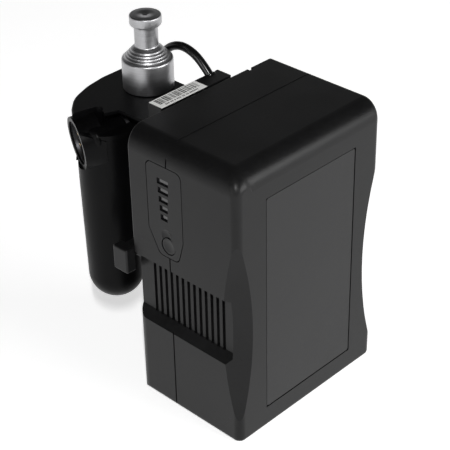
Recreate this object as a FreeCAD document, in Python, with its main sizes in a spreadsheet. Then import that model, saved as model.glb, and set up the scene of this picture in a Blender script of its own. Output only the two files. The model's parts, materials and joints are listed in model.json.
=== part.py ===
"""A battery power grip for a studio monolight, as a parametric FreeCAD document (millimetres).

The origin is the centre of the battery's flat base, with +X along the battery's width,
+Y from the battery's label face towards the grip, and +Z up.
"""
import FreeCAD, Part
import Sketcher
import math
import os
import re

Vector = FreeCAD.Vector
Rotation = FreeCAD.Rotation
Placement = FreeCAD.Placement

DIMENSIONS = {
    # battery case
    "case_width": 100.0, "case_depth": 70.0, "case_height": 150.0, "case_wall": 2.5,
    "seam_place": 9.0, "seam_width": 0.8, "seam_depth": 0.8,
    "top_round": 10.0, "right_round": 2.5, "back_round": 0.5, "back_corner": 1.6,
    "corner_round": 4.0, "base_round": 2.5, "top_score": 0.25,
    "bevel_depth": 7.0, "bevel_half": 57.0, "bevel_mid": 64.0,
    "rib_low": 46.0, "rib_slope": 4.0, "rib_high": 82.4, "rib_depth": 4.5,
    "rib_front": -28.5, "rib_count": 13, "rib_pitch": 3.85, "rib_start": -21.5,
    "rib_groove": 1.9, "rib_groove_depth": 1.4, "rib_groove_low": 49.5, "rib_groove_high": 79.6,
    "foot_round": 6.5,
    "label_left": -30.3, "label_right": 31.2, "label_low": 12.6, "label_high": 131.9,
    "label_thick": 1.0, "label_gap": 0.5, "label_sink": 0.2,
    # charge gauge
    "gauge_front": -0.3, "gauge_back": 22.2, "gauge_low": 90.0, "gauge_mid": 102.0,
    "gauge_high": 138.8, "gauge_thick": 1.5, "gauge_gap": 0.4, "gauge_round": 3.5,
    "gauge_tip_front": 3.2, "gauge_tip_back": 15.3,
    "slot_count": 5, "slot_pitch": 4.8, "slot_top": 130.4, "slot_tall": 3.1,
    "slot_mid": 11.6, "slot_long": 7.4, "slot_step": 0.7,
    "button_place": 9.6, "button_level": 96.2, "button_radius": 4.2, "button_gap": 0.4,
    "scoop_level": 101.6, "scoop_radius": 9.0, "scoop_depth": 0.8,
    # cells
    "cell_radius": 9.2, "cell_length": 65.0, "cell_pitch": 19.2,
    "cell_low": 5.5, "cell_rise": 67.5, "strip_thick": 0.2,
    "holder_thick": 6.0, "holder_inset": 2.5, "holder_half_width": 39.0,
    "holder_half_depth": 29.6, "holder_gap": 0.15,
    "board_thick": 1.6, "screw_radius": 1.5, "screw_head": 2.8,
    "boss_radius": 3.6, "boss_place": 44.6, "boss_low": 8.0, "boss_high": 139.5,
    # V-lock wedge and plate
    "wedge_low": 62.0, "wedge_tall": 46.0, "wedge_low_half": 11.0, "wedge_high_half": 16.0,
    "neck_depth": 3.3, "wedge_flare": 1.8, "wedge_head": 2.9, "fit_gap": 0.4,
    "plate_left": -25.7, "plate_right": 21.6, "plate_front": 36.5, "plate_back": 45.5,
    "plate_low": 47.0, "plate_lip": 1.5, "plate_slot_back": 41.6, "plate_slot_high": 140.0,
    "contact_half": 9.6, "contact_low": 53.0, "contact_high": 61.6, "contact_back": 40.9,
    "contact_pitch": 5.2, "pin_radius": 0.8, "contact_level": 38.6,
    # release lever
    "lever_left": -53.7, "lever_block": 5.5, "lever_low": 69.7, "lever_high": 83.4,
    "lever_front": 35.9, "lever_back": 45.8,
    "arm_front": 39.6, "arm_thick": 3.4, "arm_low": 75.4, "arm_tall": 7.4,
    "arm_end": -22.7, "guide_left": -39.0, "lever_gap": 0.35,
    # head
    "head_low": 110.0, "head_split": 121.0, "head_high": 140.0, "head_right": 13.5,
    "head_back": 97.9, "head_wall": 2.5, "notch_edge": -20.4, "notch_back": 69.6,
    "lid_low": 138.4, "lid_edge": -26.4,
    # grip
    "grip_x": -29.4, "grip_y": 72.7, "grip_radius": 15.4, "grip_foot_radius": 14.6,
    "grip_top": 129.3, "grip_tip": 30.0, "grip_wall": 2.6, "core_radius": 7.0, "core_wall": 1.5,
    # power socket
    "socket_radius": 13.5, "socket_bore": 11.2, "socket_depth": 9.5, "socket_length": 11.5,
    "mouth_x": -43.2, "mouth_y": 79.7, "mouth_z": 122.5, "socket_turn": 156.5, "socket_dip": 6.3,
    "collar_reach": 16.5, "collar_root": 4.0, "collar_turn": 228.0, "collar_low": 117.7,
    "crown_radius": 15.9, "crown_tall": 2.5, "lock_ring_long": 2.4,
    "insert_start": 6.0, "socket_pin_radius": 0.9, "socket_pin_circle": 4.6,
    "socket_pin_start": 2.0, "socket_pin_end": 8.5,
    "lock_y": 68.0, "lock_z": 128.3, "lock_radius": 5.7, "lock_left": -44.0,
    # spigot
    "spigot_x": 0.0, "spigot_y": 72.7, "spigot_base": 12.9, "spigot_shoulder": 156.1,
    "spigot_neck": 5.9, "spigot_neck_low": 162.3, "spigot_neck_high": 173.6,
    "spigot_head": 8.0, "spigot_head_low": 174.6, "spigot_top": 179.0,
    # jumper lead
    "lead_radius": 2.2, "gland_radius": 3.3, "gland_long": 4.5, "head_gland_long": 8.0,
}

doc = FreeCAD.newDocument("battery_grip")
sheet = doc.addObject("Spreadsheet::Sheet", "Dims")
for row, (word, value) in enumerate(DIMENSIONS.items(), start=1):
    sheet.set("A%d" % row, word)
    sheet.set("B%d" % row, str(value))
    sheet.setAlias("B%d" % row, word)
doc.recompute()

SUB_PARTS = []


def size(word):
    """The sheet's value for one word."""
    return float(sheet.get(word))


def bound(text):
    """An expression in the sheet's words, such as 'case_width / 2', as FreeCAD reads it."""
    def prefixed(word):
        return ("Dims." if word.group() in DIMENSIONS else "") + word.group()

    return re.sub(r"[a-z_]+", prefixed, str(text))


def bind(item, **expressions):
    for name, text in expressions.items():
        item.setExpression(name, bound(text))


def put(item, base, turn=None):
    """Places an object: its turn is fixed and its base follows the sheet."""
    item.Placement = Placement(Vector(), turn or Rotation())
    for axis, text in zip("xyz", base):
        item.setExpression("Placement.Base." + axis, bound(text))
    return item


def sub_part(item, label):
    """Marks an object as a piece of the assembly and gives it the piece's name."""
    item.Label = label
    SUB_PARTS.append(item)
    return item


def block(name, low, high):
    """A box between two corners, each three expressions."""
    item = doc.addObject("Part::Box", name)
    spans = ["(%s) - (%s)" % (b, a) for a, b in zip(low, high)]
    bind(item, Length=spans[0], Width=spans[1], Height=spans[2])
    return put(item, low)


ALONG = {
    "x": Rotation(Vector(0, 1, 0), 90),
    "y": Rotation(Vector(1, 0, 0), -90),
    "z": Rotation(),
}


def rod(name, radius, length, base, along="z"):
    """A cylinder that starts at base and runs along one axis, or along a given turn of +Z."""
    item = doc.addObject("Part::Cylinder", name)
    bind(item, Radius=radius, Height=length)
    return put(item, base, ALONG[along] if isinstance(along, str) else along)


def joined(name, *items):
    item = doc.addObject("Part::MultiFuse", name)
    item.Shapes = list(items)
    item.Refine = True
    return item


def cut(name, base, *tools):
    item = doc.addObject("Part::Cut", name)
    item.Base = base
    item.Tool = tools[0] if len(tools) == 1 else joined(name + "_tools", *tools)
    item.Refine = True
    return item


def cut_in_turn(name, base, *tools):
    """Cuts with one tool after another, for tools that touch each other along curved faces."""
    for index, tool in enumerate(tools):
        base = cut("%s_%d" % (name, index), base, tool)
    return base


def gathered(name, *items):
    """Several separate solids kept together in one piece's file."""
    item = doc.addObject("Part::Compound", name)
    item.Links = list(items)
    return item


def rounded(name, base, *choices):
    """Fillets: each choice is a radius and a test of an edge that picks where it applies."""
    doc.recompute()
    edges = []
    for radius, test in choices:
        for index, edge in enumerate(base.Shape.Edges, start=1):
            if test(edge):
                edges.append((index, radius, radius))
    item = doc.addObject("Part::Fillet", name)
    item.Base = base
    item.Edges = edges
    return item


def middle(edge):
    return edge.CenterOfMass


def runs(edge, axis):
    """Whether an edge is straight and lies along one axis."""
    if not isinstance(edge.Curve, Part.Line):
        return False
    return abs(abs(getattr(edge.tangentAt(edge.FirstParameter), axis)) - 1) < 1e-6


def near(a, b):
    return abs(a - b) < 1e-3


# ---------------------------------------------------------------- sketches and pads

def new_body(name):
    return doc.addObject("PartDesign::Body", name)


def sketch_in(body, name, plane, level="0"):
    """An empty sketch on one of the body's origin planes, moved along its normal to level."""
    sketch = body.newObject("Sketcher::SketchObject", name)
    role = [f for f in body.Origin.OriginFeatures if f.Role == plane][0]
    sketch.AttachmentSupport = [(role, "")]
    sketch.MapMode = "FlatFace"
    sketch.setExpression(".AttachmentOffset.Base.z", bound(level))
    return sketch


def outline(sketch, points):
    """A closed outline of straight sides whose corners are expressions."""
    count = len(points)
    first = sketch.GeometryCount
    for index in range(count):
        a, b = points[index], points[(index + 1) % count]
        sketch.addGeometry(Part.LineSegment(worked(a), worked(b)), False)
    for index in range(count):
        here, onward = first + index, first + (index + 1) % count
        sketch.addConstraint(Sketcher.Constraint("Coincident", here, 2, onward, 1))
    for index, (across, up) in enumerate(points):
        for kind, text in (("DistanceX", across), ("DistanceY", up)):
            rule = Sketcher.Constraint(kind, -1, 1, first + index, 1, evaluated(text))
            number = sketch.addConstraint(rule)
            sketch.setExpression("Constraints[%d]" % number, bound(text))


def evaluated(text):
    """The value of an expression in the sheet's words, for a sketch's first guess."""
    return float(sheet.evalExpression(bound(text).replace("Dims.", "")))


def worked(point):
    return Vector(evaluated(point[0]), evaluated(point[1]), 0)


def padded(body, sketch, length, backwards=False):
    pad = body.newObject("PartDesign::Pad", sketch.Name + "_pad")
    pad.Profile = sketch
    pad.Reversed = backwards
    bind(pad, Length=length)
    sketch.Visibility = False
    return pad


def plate_piece(name, plane, points, level, length, backwards=False):
    """A flat piece: one padded outline."""
    body = new_body(name)
    sketch = sketch_in(body, name + "_outline", plane, level)
    outline(sketch, points)
    padded(body, sketch, length, backwards)
    return body


def turned_piece(name, profile, base):
    """A piece turned about an upright axis: its profile is (radius, height) corners."""
    body = new_body(name)
    sketch = sketch_in(body, name + "_profile", "XZ_Plane")
    outline(sketch, profile)
    turning = body.newObject("PartDesign::Revolution", name + "_turned")
    turning.Profile = sketch
    turning.ReferenceAxis = (sketch, ["V_Axis"])
    turning.Angle = 360
    return put(body, base)


# ---------------------------------------------------------------- battery

HALF_W, HALF_D = "case_width / 2", "case_depth / 2"


def recess_cutter(name, side):
    """The finger recess of one side: a flat floor with a slope up from its lower edge."""
    body = new_body(name)
    sketch = sketch_in(body, name + "_outline", "XZ_Plane", "-(%s + 1)" % HALF_D)
    outer, floor = "(%s + 1) * (%d)" % (HALF_W, side), "(%s - rib_depth) * (%d)" % (HALF_W, side)
    outline(sketch, [(outer, "rib_low - 1.8"), (floor, "rib_low + rib_slope"),
                     (floor, "rib_high - 2"), (outer, "rib_high + 0.4")])
    padded(body, sketch, "%s + 1 - rib_front" % HALF_D)
    return body


def groove_cutters(name, side):
    """The row of upright grooves in one side's recess."""
    tools = []
    floor = "(%s - rib_depth)" % HALF_W
    for index in range(int(size("rib_count"))):
        front = "rib_start + %d * rib_pitch - rib_groove / 2" % index
        inner, outer = floor + " - rib_groove_depth", floor + " + 0.5"
        low, high = (inner, outer) if side > 0 else ("-(%s)" % outer, "-(%s)" % inner)
        tools.append(block("%s_%d" % (name, index), (low, front, "rib_groove_low"),
                           (high, front + " + rib_groove", "rib_groove_high")))
    return joined(name, *tools)


def bevel_cutter(name, side):
    """A large cylinder that bites a leaf-shaped bevel out of one front corner."""
    bite, half = size("bevel_depth"), size("bevel_half")
    radius = (half ** 2 + bite ** 2) / (2 * bite)
    length = 60.0
    out = Vector(side, -1, 0).normalize()
    along = Vector(1, side, 0).normalize()
    corner = Vector(side * size("case_width") / 2, -size("case_depth") / 2, size("bevel_mid"))
    item = doc.addObject("Part::Cylinder", name)
    item.Radius, item.Height = radius, length
    centre = corner + out * (radius - bite) - along * (length / 2)
    item.Placement = Placement(centre, Rotation(Vector(0, 0, 1), along))
    return item


def foot_cutter(name, side):
    """Rounds an upright back corner below the recess more than the case above it."""
    x = "(%s) * (%d)" % (HALF_W, side)
    inner = "(%s - foot_round) * (%d)" % (HALF_W, side)
    low, high = (x, inner) if side < 0 else (inner, x)
    corner = block(name + "_corner", (low, HALF_D + " - foot_round", "-1"),
                   (high, HALF_D + " + 1", "rib_high - 1"))
    keep = rod(name + "_keep", "foot_round", "rib_high + 4",
               (inner, HALF_D + " - foot_round", "-2"))
    return cut(name, corner, keep)


def case_form(name):
    """The battery case's outer form, solid, before it is split and hollowed."""
    raw = block(name + "_raw", ("-" + HALF_W, "-" + HALF_D, "0"), (HALF_W, HALF_D, "case_height"))
    half_w, half_d, top = size("case_width") / 2, size("case_depth") / 2, size("case_height")

    def top_edge(edge):
        return near(middle(edge).z, top) and not back_top(edge) and not right_top(edge)

    def right_top(edge):
        return near(middle(edge).z, top) and near(middle(edge).x, half_w)

    def back_top(edge):
        return near(middle(edge).z, top) and near(middle(edge).y, half_d)

    def upright(edge):
        return runs(edge, "z") and middle(edge).y < 0

    def back_upright(edge):
        return runs(edge, "z") and middle(edge).y > 0

    def foot(edge):
        return near(middle(edge).z, 0)

    soft = rounded(name + "_soft", raw, (size("corner_round"), upright),
                   (size("back_corner"), back_upright), (size("top_round"), top_edge),
                   (size("right_round"), right_top), (size("back_round"), back_top),
                   (size("base_round"), foot))
    tools = []
    for side, word in ((-1, "left"), (1, "right")):
        tools += [recess_cutter("recess_" + word, side), groove_cutters("grooves_" + word, side),
                  bevel_cutter("bevel_" + word, side), foot_cutter("foot_" + word, side)]
    tools.append(block("back_edge_notch", ("31.5", HALF_D + " - 2", "case_height - 3"),
                       ("34.5", HALF_D + " + 1", "case_height + 1")))
    return cut(name, soft, *tools)


def case_cavity(name):
    """The space inside the case: narrower behind the finger recesses and the bevels."""
    wall = "case_wall"
    deep = (HALF_D + " - " + wall)
    spine = block(name + "_spine", ("-39.5", "-(%s)" % deep, wall),
                  ("39.5", deep, "case_height - 6"))
    waist = block(name + "_waist", ("-41.4", "-22", wall), ("41.4", deep, "case_height - 9"))
    low = block(name + "_low", ("-(%s - %s)" % (HALF_W, wall), "-22", wall),
                ("%s - %s" % (HALF_W, wall), "25", "rib_low - 4"))
    high = block(name + "_high", ("-(%s - %s)" % (HALF_W, wall), "-22", "rib_high + 2.5"),
                 ("%s - %s" % (HALF_W, wall), "28", "case_height - 9"))
    return joined(name, spine, waist, low, high)


def seam_cutter(name):
    """A thin frame that scores the parting line round the outside."""
    slab = block(name + "_slab", ("-60", "seam_place - seam_width / 2", "-5"),
                 ("60", "seam_place + seam_width / 2", "case_height + 5"))
    inner = block(name + "_inner",
                  ("-(%s - seam_depth)" % HALF_W, "seam_place - 2", "seam_depth"),
                  ("%s - seam_depth" % HALF_W, "seam_place + 2", "case_height - top_score"))
    return cut(name, slab, inner)


def gauge_points(gap="0"):
    """The gauge panel's outline across the side wall as (y, z), grown by gap."""
    return [("gauge_front - " + gap, "gauge_mid"),
            ("gauge_tip_front - " + gap, "gauge_low - " + gap),
            ("gauge_tip_back + " + gap, "gauge_low - " + gap),
            ("gauge_back + " + gap, "gauge_mid + 0.5"),
            ("gauge_back + " + gap, "gauge_high + " + gap),
            ("gauge_front - " + gap, "gauge_high + " + gap)]


def gauge_blank(name, level, length, gap="0"):
    """The gauge panel's rounded outline, padded towards +X from level."""
    body = plate_piece(name, "YZ_Plane", gauge_points(gap), level, length)
    return rounded(name + "_soft", body, (size("gauge_round"), lambda edge: runs(edge, "x")))


def boss_rows():
    return [(x, z) for x in ("-boss_place", "boss_place") for z in ("boss_low", "boss_high")]


def battery_case():
    """The two halves of the case, screwed together from the back."""
    form, cavity, seam = case_form("case_form"), case_cavity("case_cavity"), seam_cutter("seam")
    deep, wall = HALF_D + " - case_wall", "case_wall"
    label = block("label_seat", ("label_left - label_gap", "-%s - 1" % HALF_D, "label_low - label_gap"),
                  ("label_right + label_gap", "-%s + label_thick + label_sink" % HALF_D,
                   "label_high + label_gap"))
    gauge_seat = gauge_blank("gauge_seat", "-%s - 1" % HALF_W, "1 + gauge_thick", "gauge_gap")
    gauge_way = joined("gauge_way",
                       block("gauge_way_lights", ("-%s" % HALF_W, "2.5", "gauge_mid"),
                             ("-%s + 4" % HALF_W, "19.5", "gauge_high - 3")),
                       block("gauge_way_button", ("-%s" % HALF_W, "5", "gauge_low + 1.6"),
                             ("-%s + 4" % HALF_W, "14.6", "gauge_mid + 1")))
    for word, low, high in (("front", "-%s - 5" % HALF_D, "seam_place"),
                            ("back", "seam_place", "%s + 5" % HALF_D)):
        half = block("case_half_" + word, ("-60", low, "-5"), ("60", high, "case_height + 5"))
        outer = doc.addObject("Part::Common", "case_outer_" + word)
        outer.Base, outer.Tool = form, half
        shell = cut("case_shell_" + word, outer, cavity)
        posts, bores = [], []
        for index, (x, z) in enumerate(boss_rows()):
            tag = "%s_%d" % (word, index)
            if word == "front":
                posts.append(rod("boss_" + tag, "boss_radius", "12", (x, "seam_place - 12", z), "y"))
                bores.append(rod("bore_" + tag, "screw_radius", "11", (x, "seam_place - 10", z), "y"))
            else:
                posts.append(rod("boss_" + tag, "boss_radius", "%s - seam_place" % deep,
                                 (x, "seam_place", z), "y"))
                bores.append(rod("bore_" + tag, "screw_radius + 0.15", "40",
                                 (x, "seam_place - 1", z), "y"))
                bores.append(rod("sink_" + tag, "screw_head + 0.3", "6",
                                 (x, "%s - 3.4" % HALF_D, z), "y"))
        body = joined("case_bossed_" + word, shell, *posts)
        tools = [seam, gauge_seat, gauge_way] + bores
        if word == "front":
            tools.append(label)
        else:
            for x, z in wedge_screw_places():
                tools.append(rod("wedge_pilot_%s" % len(tools), "screw_radius", "8",
                                 (x, "%s - 6" % HALF_D, z), "y"))
        sub_part(cut("case_%s" % word, body, *tools), "battery_%s_shell" % word)


def screw(name, head_at, length, along, head_radius="screw_head", shank="screw_radius",
          head_tall="2.2"):
    """A socket screw whose head starts at head_at and whose shank runs on along a turn of +Z."""
    head = doc.addObject("Part::Cylinder", name + "_head")
    shaft = doc.addObject("Part::Cylinder", name + "_shank")
    socket = doc.addObject("Part::Prism", name + "_socket")
    bind(head, Radius=head_radius, Height=head_tall)
    bind(shaft, Radius=shank, Height="%s + %s" % (length, head_tall))
    socket.Polygon = 6
    bind(socket, Circumradius="(%s) * 0.5" % head_radius, Height="(%s) * 0.5" % head_tall)
    for item in (head, shaft, socket):
        put(item, head_at, along)
    return cut(name, joined(name + "_blank", head, shaft), socket)


TOWARDS_FRONT = Rotation(Vector(1, 0, 0), 90)
TOWARDS_BACK = Rotation(Vector(1, 0, 0), -90)
UPWARDS = Rotation()


def wedge_screw_places():
    return [(x, z) for x in ("-7", "7") for z in ("wedge_low + 14", "wedge_low + 38")]


def battery_fasteners():
    case = [screw("case_screw_%d" % i, (x, "%s - 1" % HALF_D, z), "29", TOWARDS_FRONT)
            for i, (x, z) in enumerate(boss_rows())]
    sub_part(gathered("case_screws", *case), "case_screws")
    wedge = [screw("wedge_screw_%d" % i, (x, "%s + neck_depth + wedge_head - 0.4" % HALF_D, z),
                   "7", TOWARDS_FRONT) for i, (x, z) in enumerate(wedge_screw_places())]
    sub_part(gathered("wedge_screws", *wedge), "wedge_screws")


def label_panel():
    panel = block("label_raw", ("label_left", "-%s + label_sink" % HALF_D, "label_low"),
                  ("label_right", "-%s + label_sink + label_thick" % HALF_D, "label_high"))
    soft = rounded("label_soft", panel, (1.2, lambda edge: runs(edge, "y")))
    sub_part(soft, "battery_label_panel")


def gauge():
    """The charge gauge: its panel, light windows, push button, board and switch."""
    face = "-" + HALF_W
    blank = gauge_blank("gauge_face", face, "gauge_thick")
    slots, windows = [], []
    for index in range(int(size("slot_count"))):
        half = "(slot_long - %d * slot_step) / 2" % index
        low = "slot_top - %d * slot_pitch - slot_tall / 2" % index
        slots.append(block("slot_%d" % index, (face + " - 1", "slot_mid - " + half, low),
                           (face + " + 5", "slot_mid + " + half, low + " + slot_tall")))
        windows.append(block("window_%d" % index,
                             (face + " + 0.9", "slot_mid - %s + 0.1" % half, low + " + 0.1"),
                             (face + " + 3", "slot_mid + %s - 0.1" % half,
                              low + " + slot_tall - 0.1")))
    hole = rod("button_hole", "button_radius + button_gap", "6",
               (face + " - 1", "button_place", "button_level"), "x")
    scoop = doc.addObject("Part::Sphere", "gauge_scoop")
    bind(scoop, Radius="scoop_radius")
    put(scoop, (face + " - scoop_radius + scoop_depth", "button_place + 0.6", "scoop_level"))
    sub_part(cut("gauge_cut", blank, hole, scoop, *slots), "gauge_panel")
    sub_part(gathered("gauge_lights", *windows), "gauge_windows")
    cap = rod("button_cap", "button_radius", "2", (face + " + 0.3", "button_place", "button_level"), "x")
    stem = rod("button_stem", "1.3", "0.9", (face + " + 2.2", "button_place", "button_level"), "x")
    dish = doc.addObject("Part::Sphere", "button_dish")
    bind(dish, Radius="14")
    put(dish, (face + " - 13.3", "button_place", "button_level"))
    sub_part(cut("button_shape", joined("button_blank", cap, stem), dish), "gauge_button")
    board = block("board_raw", (face + " + 4.7", "5.5", "gauge_low + 2.5"),
                  (face + " + 4.7 + board_thick", "14.2", "gauge_high - 3.5"))
    sub_part(board, "gauge_board")
    leds = []
    for index in range(int(size("slot_count"))):
        level = "slot_top - %d * slot_pitch" % index
        leds.append(block("led_%d" % index, (face + " + 3.7", "slot_mid - 1", level + " - 0.8"),
                          (face + " + 4.7", "slot_mid + 1", level + " + 0.8")))
    switch = block("switch_raw", (face + " + 4.1", "button_place - 2.5", "button_level - 2.5"),
                   (face + " + 4.7", "button_place + 2.5", "button_level + 2.5"))
    sub_part(gathered("gauge_parts", switch, *leds), "gauge_leds_and_switch")


def cell_places():
    """Twelve places across the case: four along X by three along Y."""
    pitch = "cell_pitch"
    return [("%s * %s" % (column, pitch), "%s * %s" % (row, pitch))
            for column in ("-1.5", "-0.5", "0.5", "1.5") for row in ("-1", "0", "1")]


def cells():
    """Two layers of twelve cells, their holders and the welded nickel strips."""
    holders, strips = [], []
    for layer, word in enumerate(("lower", "upper")):
        low = "(cell_low + %d * cell_rise)" % layer
        group = [rod("cell_%s_%d" % (word, index), "cell_radius", "cell_length", (x, y, low))
                 for index, (x, y) in enumerate(cell_places())]
        sub_part(gathered("cells_" + word, *group), "cells_" + word)
        for end, start in enumerate((low + " + holder_inset",
                                     low + " + cell_length - holder_inset - holder_thick")):
            tag = "%s_%d" % (word, end)
            slab = block("holder_slab_" + tag, ("-holder_half_width", "-holder_half_depth", start),
                         ("holder_half_width", "holder_half_depth", start + " + holder_thick"))
            wells = [rod("well_%s_%d" % (tag, index), "cell_radius + holder_gap",
                         "holder_thick + 2", (x, y, start + " - 1"))
                     for index, (x, y) in enumerate(cell_places())]
            holders.append(cut("holder_" + tag, slab, *wells))
        for end, start in enumerate((low + " - strip_thick", low + " + cell_length")):
            for column in ("-1", "1"):
                tag = "%s_%d_%s" % (word, end, column.replace("-", "n"))
                middle_x = "%s * cell_pitch" % column
                strips.append(block("strip_" + tag, (middle_x + " - 14", "-24", start),
                                    (middle_x + " + 14", "24", start + " + strip_thick")))
    sub_part(gathered("cell_holder_set", *holders), "cell_holders")
    sub_part(gathered("nickel_strip_set", *strips), "nickel_strips")
    level = "cell_low + cell_rise + cell_length + strip_thick + 1.4"
    board = block("bms_board_raw", ("-36", "-24", level), ("36", "24", level + " + board_thick"))
    sub_part(board, "protection_board")


def wedge_corners(grow, low="wedge_low", high="wedge_low + wedge_tall"):
    """The tapered outline of the V-lock wedge as (x, z), grown sideways."""
    slope = "((wedge_high_half - wedge_low_half) / wedge_tall)"

    def half(level):
        return "(wedge_low_half + (%s - wedge_low) * %s + %s)" % (level, slope, grow)

    return [("-" + half(low), low), (half(low), low), (half(high), high), ("-" + half(high), high)]


def battery_mount():
    """The battery's half of the V-lock: the wedge, its contact block and the contacts."""
    neck = plate_piece("wedge_neck", "XZ_Plane", wedge_corners("0"), "-%s" % HALF_D,
                       "neck_depth + 0.5", True)
    head = plate_piece("wedge_plate", "XZ_Plane", wedge_corners("wedge_flare"),
                       "-(%s + neck_depth)" % HALF_D, "wedge_head", True)
    tools = []
    for index, (x, z) in enumerate(wedge_screw_places()):
        tools.append(rod("wedge_bore_%d" % index, "screw_radius + 0.2", "12",
                         (x, "%s - 1" % HALF_D, z), "y"))
        tools.append(rod("wedge_sink_%d" % index, "screw_head + 0.3", "4",
                         (x, "%s + neck_depth + wedge_head - 2.6" % HALF_D, z), "y"))
    sub_part(cut("wedge_shape", joined("wedge_blank", neck, head), *tools), "battery_wedge")
    blank = block("contact_blank", ("-contact_half", HALF_D, "contact_low"),
                  ("contact_half", "contact_back", "contact_high"))
    wells, sleeves = [], []
    for index in range(4):
        x = "(%s) * contact_pitch" % (index - 1.5)
        wells.append(rod("contact_well_%d" % index, "pin_radius + 1.0", "contact_high - contact_low - 1",
                         (x, "contact_level", "contact_low - 0.5")))
        outer = rod("sleeve_outer_%d" % index, "pin_radius + 0.9", "contact_high - contact_low - 2.6",
                    (x, "contact_level", "contact_low + 0.6"))
        inner = rod("sleeve_inner_%d" % index, "pin_radius + 0.5", "contact_high - contact_low",
                    (x, "contact_level", "contact_low"))
        sleeves.append(cut("sleeve_%d" % index, outer, inner))
    sub_part(cut("contact_shape", blank, *wells), "battery_contact_block")
    sub_part(gathered("contact_sleeves", *sleeves), "battery_contacts")


# ---------------------------------------------------------------- V-lock plate and release lever

def plate_screw_places():
    return [(x, z) for x in ("-8", "2") for z in ("head_low + 6", "head_low + 22")]


def lock_plate():
    """The plate the battery hangs on: an open slot above, and lips that hold the wedge below."""
    blank = plate_piece("plate_blank", "XZ_Plane",
                        [("plate_left", "plate_low"), ("plate_right", "plate_low"),
                         ("plate_right", "case_height"), ("plate_left", "case_height")],
                        "-plate_front", "plate_back - plate_front", True)
    low, high = "wedge_low - fit_gap", "wedge_low + wedge_tall + fit_gap"
    mouth = plate_piece("plate_mouth", "XZ_Plane", wedge_corners("fit_gap", low, high),
                        "-(plate_front - 1)", "plate_slot_back - plate_front + 1", True)
    under = plate_piece("plate_undercut", "XZ_Plane",
                        wedge_corners("wedge_flare + fit_gap", low, high),
                        "-(plate_front + plate_lip)", "plate_slot_back - plate_front - plate_lip", True)
    wide = "(wedge_high_half + wedge_flare + 2 * fit_gap)"
    open_slot = block("plate_open_slot", ("-" + wide, "plate_front - 1", high + " - 0.1"),
                      (wide, "plate_slot_back", "plate_slot_high"))
    contact_way = block("plate_contact_way", ("-(contact_half + 0.5)", "plate_front - 1", "plate_low + 3"),
                        ("contact_half + 0.5", "plate_slot_back", "wedge_low + 1"))
    arm_way = block("plate_arm_way", ("plate_left - 1", "arm_front - lever_gap", "arm_low - lever_gap"),
                    ("plate_left + 9.2", "arm_front + arm_thick + lever_gap",
                     "arm_low + arm_tall + lever_gap"))
    tools = [mouth, under, open_slot, contact_way, arm_way]
    for index, (x, z) in enumerate(plate_screw_places()):
        tools.append(rod("plate_bore_%d" % index, "screw_radius + 0.15", "12",
                         (x, "plate_front", z), "y"))
        tools.append(rod("plate_sink_%d" % index, "screw_head + 0.3", "2.4",
                         (x, "plate_slot_back - 0.2", z), "y"))
    for index, z in enumerate(("lever_low + 2.2", "arm_low - 2.4")):
        tools.append(rod("guide_pilot_%d" % index, "1.0", "6", ("plate_left - 1", "38.2", z), "x"))
    tools.append(rod("gland_seat", "gland_radius", "6", GLAND_BASE, GLAND_TURN))
    sub_part(cut("plate_shape", blank, *tools), "lock_plate")
    screws = [screw("plate_screw_%d" % index, (x, "plate_slot_back + 0.1", z), "6.5", TOWARDS_BACK,
                    head_tall="1.9") for index, (x, z) in enumerate(plate_screw_places())]
    sub_part(gathered("plate_screw_set", *screws), "plate_screws")
    base = block("plate_contact_raw", ("-contact_half", "plate_front + 0.6", "plate_low + 3"),
                 ("contact_half", "plate_slot_back", "contact_low - 0.6"))
    pins, wells = [], []
    for index in range(4):
        x = "(%s) * contact_pitch" % (index - 1.5)
        pins.append(rod("plate_pin_%d" % index, "pin_radius", "8.6",
                        (x, "contact_level", "plate_low + 3.8")))
        wells.append(rod("plate_well_%d" % index, "pin_radius", "10",
                         (x, "contact_level", "plate_low + 3.8")))
    sub_part(cut("plate_contact_shape", base, *wells), "plate_contact_block")
    sub_part(gathered("plate_pin_set", *pins), "plate_contact_pins")
    sticker = block("sticker_raw", ("plate_left + 0.4", "plate_front", "case_height"),
                    ("5.2", "plate_back - 0.2", "case_height + 0.15"))
    sub_part(sticker, "barcode_sticker")


def release_lever():
    """The sprung slide that frees the battery, with its guide on the plate's side."""
    head = block("lever_block_raw", ("lever_left", "lever_front", "lever_low"),
                 ("lever_left + lever_block", "lever_back", "lever_high"))
    soft = rounded("lever_block_soft", head,
                   (1.0, lambda edge: near(middle(edge).x, size("lever_left")) or
                    runs(edge, "x")))
    arm = block("lever_arm", ("lever_left + lever_block - 1", "arm_front", "arm_low"),
                ("arm_end", "arm_front + arm_thick", "arm_low + arm_tall"))
    sub_part(joined("lever_shape", soft, arm), "release_lever")
    ear = block("guide_raw", ("guide_left", "plate_front + 0.8", "lever_low + 0.4"),
                ("plate_left", "plate_back", "arm_low + arm_tall + 2"))
    way = block("guide_way", ("guide_left - 1", "arm_front - lever_gap", "arm_low - lever_gap"),
                ("plate_left + 1", "arm_front + arm_thick + lever_gap",
                 "arm_low + arm_tall + lever_gap"))
    sub_part(cut("guide_shape", ear, way), "lever_guide")
    middle_y, middle_z = "arm_front + arm_thick / 2", "arm_low + arm_tall / 2"
    coil = rod("spring_outer", "1.6", "6.0", ("arm_end + 0.1", middle_y, middle_z), "x")
    core = rod("spring_inner", "1.0", "8.0", ("arm_end - 1", middle_y, middle_z), "x")
    sub_part(cut("spring_shape", coil, core), "release_spring")


# ---------------------------------------------------------------- grip and power socket

def socket_axis():
    """The way the socket's mouth faces: round the grip, then dipped below level."""
    turn, dip = math.radians(size("socket_turn")), math.radians(size("socket_dip"))
    return Vector(math.cos(turn) * math.cos(dip), math.sin(turn) * math.cos(dip), -math.sin(dip))


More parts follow.
